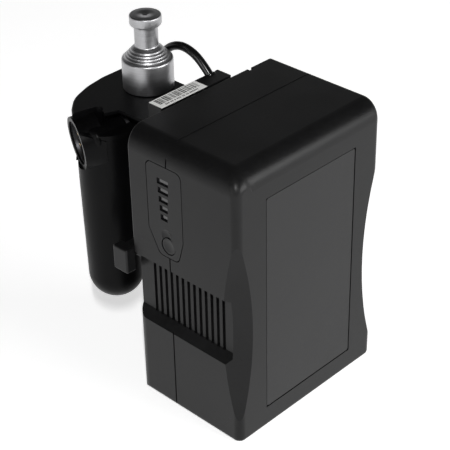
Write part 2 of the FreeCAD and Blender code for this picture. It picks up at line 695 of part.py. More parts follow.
def socket_rod(name, radius, start, length):
    """A cylinder on the socket's axis: start is the depth of its near end inside the mouth."""
    item = doc.addObject("Part::Cylinder", name)
    bind(item, Radius=radius, Height=length)
    inward = -socket_axis()
    mouth = Vector(size("mouth_x"), size("mouth_y"), size("mouth_z"))
    item.Placement = Placement(mouth + inward * start, Rotation(Vector(0, 0, 1), inward))
    return item


def socket_sides():
    """The mouth's centre, and its sideways and upward directions; sideways is towards the battery."""
    turn = math.radians(size("socket_turn") + 90)
    sideways = Vector(math.cos(turn), math.sin(turn), 0)
    centre = Vector(size("mouth_x"), size("mouth_y"), size("mouth_z"))
    return centre, sideways, socket_axis().cross(sideways)


def collar(name):
    """The smooth flank from the mouth's rim to an upright step part of the way round the grip."""
    centre, sideways, up = socket_sides()
    radius = size("socket_radius")

    def rim(degrees):
        angle = math.radians(degrees)
        return centre + (sideways * math.cos(angle) + up * math.sin(angle)) * radius

    quarters = [Part.Arc(rim(start), rim(start + 45), rim(start + 90)).toShape()
                for start in (45, 135, 225, 315)]
    turn = math.radians(size("collar_turn"))
    out = Vector(math.cos(turn), math.sin(turn), 0)
    axis = Vector(size("grip_x"), size("grip_y"), 0)
    reach, root = size("collar_reach"), size("collar_root")
    low, high = size("collar_low"), size("grip_top")
    corners = [axis + out * across + Vector(0, 0, level)
               for across, level in ((reach, high), (root, high), (root, low), (reach, low))]
    sides = [Part.makeLine(corners[i], corners[(i + 1) % 4]) for i in range(4)]
    item = doc.addObject("Part::Feature", name)
    item.Shape = Part.makeLoft([Part.Wire(quarters), Part.Wire(sides)], True, True)
    return item


def socket_form(name):
    """The outer form of the socket housing: tube, collar, crown on the grip, and lock barrel."""
    tube = socket_rod(name + "_tube", "socket_radius", 0.0, "socket_length")
    crown = rod(name + "_crown", "crown_radius", "crown_tall", ("grip_x", "grip_y", "grip_top"))
    barrel = rod(name + "_barrel", "lock_radius", "notch_edge - 1.5 - lock_ring_long - lock_left",
                 ("lock_left", "lock_y", "lock_z"), "x")
    tipped = rounded(name + "_barrel_soft", barrel,
                     (2.5, lambda edge: isinstance(edge.Curve, Part.Circle) and
                      near(middle(edge).x, size("lock_left"))))
    return cut(name, joined(name + "_blank", tube, collar(name + "_collar"), crown, tipped),
               mouth_front(name))


def mouth_front(name):
    """The space straight in front of the socket's mouth."""
    return socket_rod(name + "_mouth_front", "socket_radius + 6", -10.0, "10")


def socket_space(form):
    """What the grip and the head are cut by: the housing, its lock and the mouth's way in."""
    lock_way = rod("lock_way", "lock_radius", "notch_edge - lock_left",
                   ("lock_left", "lock_y", "lock_z"), "x")
    front = socket_rod("space_mouth_front", "socket_radius", -10.0, "10")
    return form, lock_way, front


def grip_solid(name, inset):
    """The grip's solid of revolution: a slight taper and a round foot, inset for its inside."""
    radius, foot = size("grip_radius") - inset, size("grip_foot_radius") - inset
    top, tip = size("grip_top"), size("grip_tip") + inset
    centre = tip + foot
    item = doc.addObject("Part::Feature", name)
    side = [Vector(0, 0, tip), Vector(foot, 0, centre), Vector(radius, 0, 100.0),
            Vector(radius, 0, top), Vector(0, 0, top)]
    bend = math.radians(45)
    arc = Part.Arc(side[0], Vector(foot * math.sin(bend), 0, centre - foot * math.cos(bend)), side[1])
    edges = [arc.toShape()] + [Part.makeLine(side[i], side[(i + 1) % 5]) for i in range(1, 5)]
    item.Shape = Part.Face(Part.Wire(edges)).revolve(Vector(), Vector(0, 0, 1), 360)
    return put(item, ("grip_x", "grip_y", "0"))


def grip(space):
    """The hand grip: a shell round a metal core tube, bolted up into the head."""
    outer, hollow = grip_solid("grip_outer", 0.0), grip_solid("grip_hollow", size("grip_wall"))
    shell = cut("grip_wall_shape", outer, hollow)
    ribs = []
    for index, z in enumerate(("50", "80", "106")):
        disc = rod("grip_rib_%d" % index, "grip_foot_radius - 0.6", "2.5", ("grip_x", "grip_y", z))
        bore = rod("grip_rib_bore_%d" % index, "core_radius + 0.05", "4",
                   ("grip_x", "grip_y", z + " - 0.5"))
        ribs.append(cut("grip_rib_ring_%d" % index, disc, bore))
    body = cut_in_turn("grip_with_socket_cut", joined("grip_ribbed", shell, *ribs), *space)
    sub_part(body, "grip_shell")
    tube = cut("core_shape",
               rod("core_outer", "core_radius", "58", ("grip_x", "grip_y", "47")),
               rod("core_inner", "core_radius - core_wall", "60", ("grip_x", "grip_y", "46")))
    sub_part(tube, "grip_core_tube")
    plug = cut("core_plug_shape",
               rod("core_plug_raw", "core_radius - core_wall", "12", ("grip_x", "grip_y", "93")),
               rod("core_plug_bore", "2", "14", ("grip_x", "grip_y", "92")))
    sub_part(plug, "grip_core_nut")


def power_socket(form):
    """The output socket: housing, metal sleeve, insert and its four pins."""
    bore = socket_rod("socket_bore_cut", "socket_bore", -1.0, "socket_depth + 1")
    wire_way = socket_rod("socket_wire_way", "3", 9.0, "6")
    ring_at = "notch_edge - 1.4 - lock_ring_long"
    lock_bore = rod("lock_bore", "lock_radius - 1.9", "12", ("notch_edge - 9", "lock_y", "lock_z"), "x")
    ring_seat = rod("lock_ring_seat", "lock_radius", "lock_ring_long + 2",
                    (ring_at + " - 0.1", "lock_y", "lock_z"), "x")
    sub_part(cut("socket_shape", form, bore, wire_way, lock_bore, ring_seat), "socket_housing")
    sleeve = cut("sleeve_shape", socket_rod("socket_sleeve_outer", "socket_bore", 1.2, "socket_depth - 1.2"),
                 socket_rod("socket_sleeve_inner", "socket_bore - 1", 0.0, "socket_depth + 1"))
    sub_part(sleeve, "socket_metal_shell")
    start = size("insert_start")
    insert = socket_rod("socket_insert_raw", "socket_bore - 1", start, "socket_depth - insert_start")
    pins, wells = [], []
    sideways, up = socket_sides()[1:]
    for index in range(4):
        angle = math.radians(45 + 90 * index)
        across = (sideways * math.cos(angle) + up * math.sin(angle)) * size("socket_pin_circle")
        for group, tag, begin in ((pins, "pin", size("socket_pin_start")), (wells, "well", start - 1)):
            item = socket_rod("socket_%s_%d" % (tag, index), "socket_pin_radius", begin,
                              "socket_pin_end - %s" % begin)
            item.Placement.Base += across
            group.append(item)
    sub_part(cut("socket_insert_shape", insert, *wells), "socket_insert")
    sub_part(gathered("socket_pin_set", *pins), "socket_pins")
    ring = cut("lock_ring_shape",
               rod("lock_ring_raw", "lock_radius - 0.1", "lock_ring_long", (ring_at, "lock_y", "lock_z"), "x"),
               rod("lock_ring_bore", "lock_radius - 2.5", "lock_ring_long + 2",
                   (ring_at + " - 1", "lock_y", "lock_z"), "x"))
    sub_part(ring, "lock_ring")
    pin = rod("lock_pin_raw", "lock_radius - 2.6", "8.6", ("notch_edge - 8.9", "lock_y", "lock_z"), "x")
    sub_part(pin, "lock_pin")


# ---------------------------------------------------------------- head and spigot

def head_points(inset="0"):
    """The head's outline from above, with every side moved inwards by inset."""
    return [("-45.4 + " + inset, "78.8 + 0.1 * " + inset),
            ("-41.5 + 0.9 * " + inset, "83.8 - 0.4 * " + inset),
            ("-33.7 + 0.6 * " + inset, "91.2 - 0.8 * " + inset),
            ("-21 + 0.3 * " + inset, "95.9 - " + inset), ("-9", "head_back - " + inset),
            ("head_right - " + inset, "head_back - " + inset),
            ("head_right - " + inset, "plate_back + " + inset),
            ("notch_edge + " + inset, "plate_back + " + inset),
            ("notch_edge + " + inset, "notch_back + " + inset),
            ("-32.8 + 0.9 * " + inset, "notch_back + " + inset),
            ("-31 + 1.2 * " + inset, "73.6 + 0.8 * " + inset),
            ("-32.4 + 0.6 * " + inset, "75.6 + 1.1 * " + inset)]


def head_block(name, low, high, inset="0"):
    """The head's outline made solid between two heights, with its upright corners rounded."""
    body = plate_piece(name, "XY_Plane", head_points(inset), low, "(%s) - (%s)" % (high, low))
    shrink = evaluated(inset)

    def corner(x, y):
        return lambda edge: (runs(edge, "z") and abs(middle(edge).x - x) < 3.5 and
                             abs(middle(edge).y - y) < 3.5)

    if shrink:
        return rounded(name + "_soft", body, (9 - shrink, corner(13, 97)))
    return rounded(name + "_soft", body, (10, corner(-41.5, 83.8)), (24, corner(-33.7, 91.2)),
                   (24, corner(-21, 95.9)), (24, corner(-9, 97.9)), (9, corner(13, 97)))


def head_lid():
    """The thin lid that carries the head's top out over the lock barrel."""
    outline = [("lid_edge", "plate_back"), ("notch_edge + 1", "plate_back"),
               ("notch_edge + 1", "notch_back + 1"), ("-33.2", "notch_back + 1"),
               ("-34.4", "67.4"), ("lid_edge - 1.2", "64.6")]
    return plate_piece("head_lid", "XY_Plane", outline, "lid_low", "head_high - lid_low")


def head_post_places():
    return [("9", "51"), ("9", "90"), ("-15.5", "51"), ("-15.5", "90")]


def head(space):
    """The head's two shells with their screws."""
    grip_form = grip_solid("grip_clearance", 0.0)
    upper = head_block("head_upper_block", "head_split", "head_high")
    upper = rounded("head_upper_soft", upper,
                    (1.2, lambda edge: near(middle(edge).z, size("head_high")) and
                     middle(edge).y > size("plate_back") + 1 and
                     (middle(edge).x > 0 or middle(edge).y > 80)))
    lower = head_block("head_lower_block", "head_low", "head_split")
    upper_hollow = head_block("head_upper_space", "head_split - 1", "head_high - head_wall", "head_wall")
    lower_hollow = head_block("head_lower_space", "head_low + head_wall", "head_split + 1", "head_wall")
    for word, outside, hollow in (("upper", upper, upper_hollow), ("lower", lower, lower_hollow)):
        posts, bores = [], []
        level = "head_low + 22" if word == "upper" else "head_low + 6"
        for index, x in enumerate(("-8", "2")):
            posts.append(rod("head_boss_%s_%d" % (word, index), "3.2", "5.5",
                             (x + " + 0", "plate_back + 1.5", level), "y"))
            bores.append(rod("head_pilot_%s_%d" % (word, index), "screw_radius", "7",
                             (x, "plate_back - 1", level), "y"))
        for index, (x, y) in enumerate(head_post_places()):
            tag = "%s_%d" % (word, index)
            if word == "upper":
                posts.append(rod("head_post_" + tag, "3", "head_high - head_split - 1", (x, y, "head_split")))
                bores.append(rod("head_bore_" + tag, "screw_radius", "9", (x, y, "head_split - 1")))
            else:
                posts.append(rod("head_post_" + tag, "3.9", "head_split - head_low - 0.5",
                                 (x, y, "head_low + 0.5")))
                bores.append(rod("head_bore_" + tag, "screw_radius + 0.15", "14", (x, y, "head_low - 1")))
                bores.append(rod("head_sink_" + tag, "screw_head + 0.3", "3.6", (x, y, "head_low - 1")))
        shell = cut("head_%s_walls" % word, outside, hollow)
        if word == "lower":
            posts += [rod("standoff_%d" % index, "2", "2.6", (x, y, "head_low + head_wall - 0.1"))
                      for index, (x, y) in enumerate((("-11", "58"), ("9", "58"),
                                                      ("-11", "84"), ("9", "84")))]
        else:
            posts.append(head_lid())
            bores += [rod("spigot_bolt_hole", "4.3", "10", ("spigot_x", "spigot_y", "head_high - 5")),
                      rod("head_gland_seat", "gland_radius", "8", HEAD_GLAND_BASE, HEAD_GLAND_TURN)]
        bored = cut("head_%s_bored" % word, joined("head_%s_bossed" % word, shell, *posts), *bores)
        solid = cut_in_turn("head_%s_shape" % word, bored, grip_form, *space)
        sub_part(solid, "head_%s_shell" % word)
    screws = [screw("head_screw_%d" % index, (x, y, "head_low + 0.4"), "14.5", UPWARDS)
              for index, (x, y) in enumerate(head_post_places())]
    sub_part(gathered("head_screw_set", *screws), "head_screws")
    level = "head_low + head_wall + 2.5"
    board = block("converter_raw", ("-12.5", "56", level), ("11", "86", level + " + board_thick"))
    sub_part(board, "converter_board")
    top = level + " + board_thick"
    parts = [rod("capacitor_0", "4", "10", ("-7", "61", top)),
             rod("capacitor_1", "4", "10", ("3", "61", top)),
             rod("toroid", "6.5", "6", ("-2", "76", top)),
             block("power_chip", ("6.2", "70", top), ("10", "78", top + " + 3"))]
    sub_part(gathered("converter_part_set", *parts), "converter_components")


def spigot():
    """The 5/8 inch stand spigot with its turned base, bolt and washer."""
    profile = [("4.1", "head_high"), ("spigot_base", "head_high"),
               ("spigot_base", "spigot_shoulder - 0.6"), ("spigot_base - 0.6", "spigot_shoulder"),
               ("spigot_neck", "spigot_neck_low"), ("spigot_neck", "spigot_neck_high"),
               ("spigot_head - 1", "spigot_neck_high"), ("spigot_head", "spigot_head_low"),
               ("spigot_head", "spigot_top - 0.8"), ("spigot_head - 0.8", "spigot_top"),
               ("0", "spigot_top"), ("0", "head_high + 12.5"), ("4.1", "head_high + 12.5")]
    sub_part(turned_piece("spigot_turning", profile, ("spigot_x", "spigot_y", "0")), "spigot")
    washer = turned_piece("washer_turning", [("4.2", "head_high - 4.1"), ("10", "head_high - 4.1"),
                                             ("10", "head_high - 2.5"), ("4.2", "head_high - 2.5")],
                          ("spigot_x", "spigot_y", "0"))
    sub_part(washer, "spigot_washer")
    hexagon = doc.addObject("Part::Prism", "spigot_bolt_head")
    hexagon.Polygon = 6
    bind(hexagon, Circumradius="7.5", Height="5.3")
    put(hexagon, ("spigot_x", "spigot_y", "head_high - 9.4"))
    shank = rod("spigot_bolt_shank", "4", "20", ("spigot_x", "spigot_y", "head_high - 9"))
    sub_part(joined("spigot_bolt_shape", hexagon, shank), "spigot_bolt")


# ---------------------------------------------------------------- jumper lead

LEAD_ROUTE = [Vector(16.8, 46.6, 148.7), Vector(16.8, 51.3, 153.4), Vector(16.6, 57.6, 157.4),
              Vector(16.3, 65.4, 158.8), Vector(15.9, 72.9, 156.0), Vector(15.0, 78.3, 150.2),
              Vector(12.6, 82.8, 144.4)]


def lead_path(points):
    """Straight runs joined by tangent arcs, each arc as large as its two runs allow."""
    edges, start, length = [], points[0], 0.0
    for before, corner, after in zip(points, points[1:], points[2:]):
        back, on = before - corner, after - corner
        shorter = min(back.Length, on.Length)
        half_turn = (math.pi - back.getAngle(on)) / 2
        reach = 0.45 * shorter
        radius = reach / math.tan(half_turn)
        back.normalize()
        on.normalize()
        first, last = corner + back * reach, corner + on * reach
        bisector = (back + on).normalize()
        centre = corner + bisector * math.hypot(reach, radius)
        edges.append(Part.LineSegment(start, first).toShape())
        edges.append(Part.Arc(first, centre - bisector * radius, last).toShape())
        length += edges[-1].Length + edges[-2].Length
        start = last
        print("lead arc radius %.1f mm, turn %.0f degrees" % (radius, 2 * math.degrees(half_turn)))
    edges.append(Part.LineSegment(start, points[-1]).toShape())
    return Part.Wire(edges), length + edges[-1].Length


def gland(name, base, turn, length, label):
    """A short moulded boot: a barrel with a rounded outer end."""
    barrel = rod(name + "_barrel", "gland_radius", length, base, turn)
    doc.recompute()
    tip = barrel.Placement.multVec(Vector(0, 0, barrel.Height.Value))
    soft = rounded(name + "_soft", barrel,
                   (0.7, lambda edge: isinstance(edge.Curve, Part.Circle) and
                    (edge.Curve.Center - tip).Length < 0.01))
    sub_part(soft, label)


def jumper_lead():
    """The short lead from the plate to the head, held at both ends by a gland."""
    gland("plate_gland", GLAND_BASE, GLAND_TURN, "gland_long", "lead_gland_plate")
    gland("head_gland", HEAD_GLAND_BASE, HEAD_GLAND_TURN, "head_gland_long", "lead_gland_head")
    wire, length = lead_path(LEAD_ROUTE)
    radius = size("lead_radius")
    way = (LEAD_ROUTE[1] - LEAD_ROUTE[0]).normalize()
    ring = Part.Wire(Part.Circle(LEAD_ROUTE[0], way, radius).toShape())
    tube = doc.addObject("Part::Feature", "jumper_lead_tube")
    tube.Shape = wire.makePipeShell([ring], True, True)
    print("lead length %.1f mm, volume %.1f of %.1f mm3"
          % (length, tube.Shape.Volume, math.pi * radius ** 2 * length))
    sub_part(tube, "jumper_lead")


def back_along(points, end, length):
    """The base of a gland whose tip is one end of the lead."""
    tip, inner = (points[0], points[1]) if end == "first" else (points[-1], points[-2])
    way = (inner - tip).normalize()
    base = tip - way * length
    return tuple("%.4f" % value for value in base), Rotation(Vector(0, 0, 1), way)


GLAND_BASE, GLAND_TURN = back_along(LEAD_ROUTE, "first", size("gland_long"))
HEAD_GLAND_BASE, HEAD_GLAND_TURN = back_along(LEAD_ROUTE, "last", size("head_gland_long"))


# ---------------------------------------------------------------- build and export

def export():
    """Recomputes, checks every object and writes one file for each piece."""
    doc.recompute()
    for item in doc.Objects:
        if "Invalid" in item.State or "Error" in item.State:
            raise RuntimeError("%s (%s) failed: %s" % (item.Name, item.Label, item.State))
    for item in SUB_PARTS:
        if item.Shape.isNull() or not item.Shape.isValid() or not item.Shape.Solids:
            raise RuntimeError("%s has no valid solid" % item.Label)
    os.makedirs("parts", exist_ok=True)
    for item in SUB_PARTS:
        item.Shape.exportStep(os.path.join("parts", item.Label + ".step"))
        print("%-26s %2d solids %10.1f mm3" % (item.Label, len(item.Shape.Solids), item.Shape.Volume))
    print(len(SUB_PARTS), "pieces")


battery_case()
battery_fasteners()
label_panel()
gauge()
cells()
battery_mount()
lock_plate()
release_lever()
housing_form = socket_form("socket_form")
housing_space = socket_space(housing_form)
grip(housing_space)
power_socket(housing_form)
head(housing_space)
spigot()
jumper_lead()

export()
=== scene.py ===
import json
import math
import random

import bmesh
import bpy
from mathutils import Matrix, Vector


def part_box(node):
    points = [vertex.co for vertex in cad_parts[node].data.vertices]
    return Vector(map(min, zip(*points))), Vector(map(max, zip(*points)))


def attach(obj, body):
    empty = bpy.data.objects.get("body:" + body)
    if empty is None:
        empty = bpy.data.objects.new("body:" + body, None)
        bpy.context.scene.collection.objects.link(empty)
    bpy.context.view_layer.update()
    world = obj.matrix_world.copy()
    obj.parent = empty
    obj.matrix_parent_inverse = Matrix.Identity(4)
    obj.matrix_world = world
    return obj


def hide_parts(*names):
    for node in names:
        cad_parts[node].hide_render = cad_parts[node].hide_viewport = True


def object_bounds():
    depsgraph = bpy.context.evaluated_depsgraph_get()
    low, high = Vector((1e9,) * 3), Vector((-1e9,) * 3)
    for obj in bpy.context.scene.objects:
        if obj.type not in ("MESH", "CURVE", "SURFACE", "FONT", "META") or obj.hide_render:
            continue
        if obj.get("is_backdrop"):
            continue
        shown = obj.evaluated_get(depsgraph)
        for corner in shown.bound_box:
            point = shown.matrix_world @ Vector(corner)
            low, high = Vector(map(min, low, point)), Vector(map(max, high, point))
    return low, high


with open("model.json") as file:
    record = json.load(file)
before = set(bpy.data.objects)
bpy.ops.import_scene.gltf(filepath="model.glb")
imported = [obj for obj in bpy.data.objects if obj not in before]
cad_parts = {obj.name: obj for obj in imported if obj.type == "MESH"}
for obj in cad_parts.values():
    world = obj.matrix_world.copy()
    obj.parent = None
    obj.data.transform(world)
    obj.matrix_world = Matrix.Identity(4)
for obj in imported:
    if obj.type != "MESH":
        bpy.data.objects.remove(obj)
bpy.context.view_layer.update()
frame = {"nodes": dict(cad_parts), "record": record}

MM = 0.001
NODES = frame["nodes"]


# ---------------------------------------------------------------- camera, floor and light

CAMERA_PLACE = Vector((-418.4, -391.5, 458.5)) * MM
CAMERA_HEADING = math.radians(45.33)     # from +Y towards +X
CAMERA_TILT = math.radians(32.78)        # below level
CAMERA_ROLL = math.radians(1.27)
CAMERA_SENSOR = 36.0                     # mm wide
CAMERA_LENS = 111.6                      # mm
CAMERA_SHIFT = (0.0023, -0.0020)


def camera():
    """A long lens looking down at the object from its front left, rolled very slightly."""
    data = bpy.data.cameras.new("camera")
    data.sensor_width = CAMERA_SENSOR
    data.lens = CAMERA_LENS
    data.shift_x, data.shift_y = CAMERA_SHIFT
    data.clip_start, data.clip_end = 0.01, 100.0
    item = bpy.data.objects.new("camera", data)
    bpy.context.collection.objects.link(item)
    level = math.cos(CAMERA_TILT)
    ahead = Vector((level * math.sin(CAMERA_HEADING), level * math.cos(CAMERA_HEADING),
                    -math.sin(CAMERA_TILT)))
    right = Vector((math.cos(CAMERA_HEADING), -math.sin(CAMERA_HEADING), 0.0))
    up = right.cross(ahead)
    c, s = math.cos(CAMERA_ROLL), math.sin(CAMERA_ROLL)
    right, up = c * right - s * up, s * right + c * up
    turn = Matrix((right, up, -ahead)).transposed().to_4x4()
    item.matrix_world = Matrix.Translation(CAMERA_PLACE) @ turn
    bpy.context.scene.camera = item


FLOOR_HALF = 6.0                         # m
FLOOR_GAP = 0.2 * MM
FLOOR_GLOW = 0.55


def floor():
    """A pale plain floor that glows a little, wide enough to fill the view."""
    mesh = bpy.data.meshes.new("floor")
    half, level = FLOOR_HALF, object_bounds()[0][2] - FLOOR_GAP
    mesh.from_pydata([(-half, -half, level), (half, -half, level), (half, half, level),
                      (-half, half, level)], [], [(0, 1, 2, 3)])
    item = bpy.data.objects.new("floor", mesh)
    bpy.context.collection.objects.link(item)
    material = bpy.data.materials.new("floor")
    material.use_nodes = True
    shader = material.node_tree.nodes["Principled BSDF"]
    shader.inputs["Base Color"].default_value = (0.92, 0.92, 0.92, 1)
    shader.inputs["Roughness"].default_value = 0.9
    shader.inputs["Specular IOR Level"].default_value = 0.0
    shader.inputs["Emission Color"].default_value = (1.0, 1.0, 1.0, 1)
    shader.inputs["Emission Strength"].default_value = FLOOR_GLOW
    mesh.materials.append(material)
    item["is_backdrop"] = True


def area_light(name, place, aim, size, power):
    """A soft box of size (width, height) in metres, facing a point."""
    data = bpy.data.lights.new(name, "AREA")
    data.shape = "RECTANGLE"
    data.size, data.size_y = size
    data.energy = power
    item = bpy.data.objects.new(name, data)
    bpy.context.collection.objects.link(item)
    item.location = place
    item.rotation_euler = (Vector(aim) - Vector(place)).to_track_quat("-Z", "Y").to_euler()


LIGHT_AIM = (0.0, 0.02, 0.08)
CORNER_AIM = (-0.05, -0.03, 0.145)       # the battery's top front corner on the gauge side
LIGHTS = (
    # name, place (m), aim (m), size (m), power (W)
    ("key", (0.8, -2.0, 0.75), LIGHT_AIM, (1.6, 1.0), 38.0),
    ("side", (-1.9, 0.1, 0.7), LIGHT_AIM, (0.35, 1.2), 4.5),
    ("corner", (-1.0, -1.08, 1.5), CORNER_AIM, (0.06, 0.30), 20.0),
)
SKY = ((0.06, 0.85), (0.42, 0.035))      # height up the sky and grey there


def lights():
    """A bright horizon under a dark ceiling, two soft boxes and a narrow strip for the corner."""
    world = bpy.data.worlds.new("studio")
    bpy.context.scene.world = world
    world.use_nodes = True
    nodes, links = world.node_tree.nodes, world.node_tree.links
    place = nodes.new("ShaderNodeTexCoord")
    split = nodes.new("ShaderNodeSeparateXYZ")
    ramp = nodes.new("ShaderNodeValToRGB")
    links.new(place.outputs["Generated"], split.inputs[0])
    links.new(split.outputs["Z"], ramp.inputs[0])
    links.new(ramp.outputs[0], nodes["Background"].inputs["Color"])
    for stop, (height, grey) in zip(ramp.color_ramp.elements, SKY):
        stop.position, stop.color = height, (grey, grey, grey, 1)
    nodes["Background"].inputs["Strength"].default_value = 1.0
    for light in LIGHTS:
        area_light(*light)
    bpy.context.scene.view_settings.view_transform = "Standard"
    bpy.context.scene.view_settings.look = "None"


# ---------------------------------------------------------------- materials

NOISE_ROUGHNESS = 0.55


class Finish:
    """A node material around one Principled shader, with short calls for what is wired to it."""

    def __init__(self, name, colour, roughness, metallic=0.0):
        self.material = bpy.data.materials.new(name)
        self.material.use_nodes = True
        self.tree = self.material.node_tree
        self.shader = self.tree.nodes["Principled BSDF"]
        self.shader.inputs["Base Color"].default_value = (*colour, 1)
        self.shader.inputs["Roughness"].default_value = roughness
        self.shader.inputs["Metallic"].default_value = metallic
        place = self.tree.nodes.new("ShaderNodeTexCoord")
        self.place = place.outputs["Object"]

    def link(self, output, node, name):
        self.tree.links.new(output, node.inputs[name])

    def stretched(self, scale):
        """Object coordinates, scaled along each axis."""
        node = self.tree.nodes.new("ShaderNodeMapping")
        node.inputs["Scale"].default_value = scale
        self.link(self.place, node, "Vector")
        return node.outputs["Vector"]

    def noise(self, size_mm, detail=3.0, place=None):
        """Noise with features about size_mm across."""
        node = self.tree.nodes.new("ShaderNodeTexNoise")
        node.inputs["Scale"].default_value = 1.0 / (size_mm * MM)
        node.inputs["Detail"].default_value = detail
        node.inputs["Roughness"].default_value = NOISE_ROUGHNESS
        self.link(place or self.place, node, "Vector")
        return node.outputs["Fac"]

    def between(self, value, low, high, from_low=0.3, from_high=0.7):
        """Value mapped from one range to another, held at the ends."""
        node = self.tree.nodes.new("ShaderNodeMapRange")
        for name, number in (("From Min", from_low), ("From Max", from_high),
                             ("To Min", low), ("To Max", high)):
            node.inputs[name].default_value = number
        self.link(value, node, "Value")
        return node.outputs["Result"]

    def mixed(self, factor, first, second):
        """A colour between two, by factor."""
        node = self.tree.nodes.new("ShaderNodeMix")
        node.data_type = "RGBA"
        for socket, value in ((6, first), (7, second)):
            if isinstance(value, tuple):
                node.inputs[socket].default_value = (*value, 1)
            else:
                self.tree.links.new(value, node.inputs[socket])
        self.tree.links.new(factor, node.inputs[0])
        return node.outputs[2]

    def math(self, operation, first, second):
        node = self.tree.nodes.new("ShaderNodeMath")
        node.operation = operation
        for socket, value in enumerate((first, second)):
            if isinstance(value, (int, float)):
                node.inputs[socket].default_value = value
            else:
                self.tree.links.new(value, node.inputs[socket])
        return node.outputs[0]

    def bumps(self, *layers):
        """Bump from one or more (height, depth in mm) layers."""
        normal = None
        for height, depth_mm in layers:
            node = self.tree.nodes.new("ShaderNodeBump")
            node.inputs["Distance"].default_value = depth_mm * MM
            self.link(height, node, "Height")
            if normal:
                self.link(normal, node, "Normal")
            normal = node.outputs["Normal"]
        self.link(normal, self.shader, "Normal")

    def colour_from(self, output):
        self.link(output, self.shader, "Base Color")

    def roughness_from(self, output):
        self.link(output, self.shader, "Roughness")


def tint(colour, amount):
    """A colour made lighter or darker."""
    return tuple(min(1.0, channel * amount) for channel in colour)


def moulded(name, colour, roughness, grain_mm=0.35, grain_depth=0.012, mottle=0.25, gloss=0.3):
    """Injection-moulded plastic: a fine spark-eroded grain, faint flow mottling and handling wear."""
    finish = Finish(name, colour, roughness)
    broad = finish.noise(38.0, detail=2.0)
    fine = finish.noise(1.6, detail=4.0)
    mottled = finish.mixed(finish.between(broad, 0.0, 1.0), tint(colour, 1 - mottle),
                           tint(colour, 1 + mottle))
    dusty = finish.mixed(finish.between(fine, 0.0, 0.5, 0.45, 0.8), mottled, tint(colour, 1.5))
    finish.colour_from(dusty)
    uneven = finish.math("ADD", finish.between(broad, -0.04, 0.05),
                         finish.between(fine, roughness - 0.04, roughness + 0.05))
    finish.roughness_from(uneven)
    finish.bumps((finish.noise(grain_mm, detail=2.0), grain_depth),
                 (finish.noise(22.0, detail=1.0), 0.03))
    finish.shader.inputs["Specular IOR Level"].default_value = gloss
    return finish.material


def turned_metal(name, colour, roughness, ring_mm=0.22):
    """Metal turned on a lathe: fine rings stacked along Z."""
    finish = Finish(name, colour, roughness, metallic=1.0)
    rings = finish.noise(ring_mm, detail=1.0, place=finish.stretched((0.004, 0.004, 1.0)))
    cloud = finish.noise(9.0, detail=3.0)
    finish.colour_from(finish.mixed(finish.between(rings, 0.0, 1.0), tint(colour, 0.86),
                                    tint(colour, 1.06)))
    finish.roughness_from(finish.math("ADD", finish.between(rings, -0.05, 0.08),
                                      finish.between(cloud, roughness - 0.03, roughness + 0.04)))
    finish.bumps((rings, 0.0012))
    finish.shader.inputs["Anisotropic"].default_value = 0.3
    return finish.material


def plain_metal(name, colour, roughness, grain_mm=0.6):
    """Plated or rolled metal with a slight grain."""
    finish = Finish(name, colour, roughness, metallic=1.0)
    grain = finish.noise(grain_mm, detail=4.0)
    finish.colour_from(finish.mixed(finish.between(grain, 0.0, 1.0), tint(colour, 0.85), colour))
    finish.roughness_from(finish.between(grain, roughness - 0.06, roughness + 0.08))
    finish.bumps((grain, 0.01))
    return finish.material


def rubber(name, colour, roughness):
    """Extruded sheath: nearly smooth, with faint dust."""
    finish = Finish(name, colour, roughness)
    fine = finish.noise(0.8, detail=4.0)
    finish.colour_from(finish.mixed(finish.between(fine, 0.0, 0.6), colour, tint(colour, 1.4)))
    finish.roughness_from(finish.between(fine, roughness - 0.05, roughness + 0.08))
    finish.bumps((finish.noise(0.5, detail=2.0), 0.01))
    return finish.material


def smoked_window(name):
    """Dark glossy plastic over the gauge lights."""
    finish = Finish(name, (0.006, 0.006, 0.007), 0.12)
    finish.roughness_from(finish.between(finish.noise(2.0), 0.08, 0.18))
    finish.shader.inputs["Coat Weight"].default_value = 0.6
    finish.shader.inputs["Coat Roughness"].default_value = 0.06
    return finish.material


def paper(name):
    """Matt sticker paper."""
    finish = Finish(name, (0.86, 0.86, 0.84), 0.55)
    fibre = finish.noise(0.4, detail=5.0)
    finish.colour_from(finish.mixed(finish.between(fibre, 0.0, 1.0), (0.78, 0.78, 0.76),
                                    (0.88, 0.88, 0.86)))
    finish.bumps((fibre, 0.008))
    return finish.material


def circuit_board(name):
    """Solder mask over faint copper runs."""
    finish = Finish(name, (0.01, 0.09, 0.035), 0.35)
    runs = finish.noise(3.0, detail=0.0)
    finish.colour_from(finish.mixed(finish.between(runs, 0.0, 1.0, 0.49, 0.51),
                                    (0.008, 0.07, 0.028), (0.015, 0.13, 0.05)))
    finish.bumps((runs, 0.02))
    return finish.material


def cell_sleeve(name):
    """The shrunk plastic sleeve round a cell."""
    finish = Finish(name, (0.02, 0.09, 0.22), 0.3)
    finish.bumps((finish.noise(4.0), 0.05))
    finish.colour_from(finish.mixed(finish.noise(20.0), (0.018, 0.08, 0.2), (0.024, 0.11, 0.26)))
    return finish.material


BLACK = (0.0036, 0.0036, 0.0038)


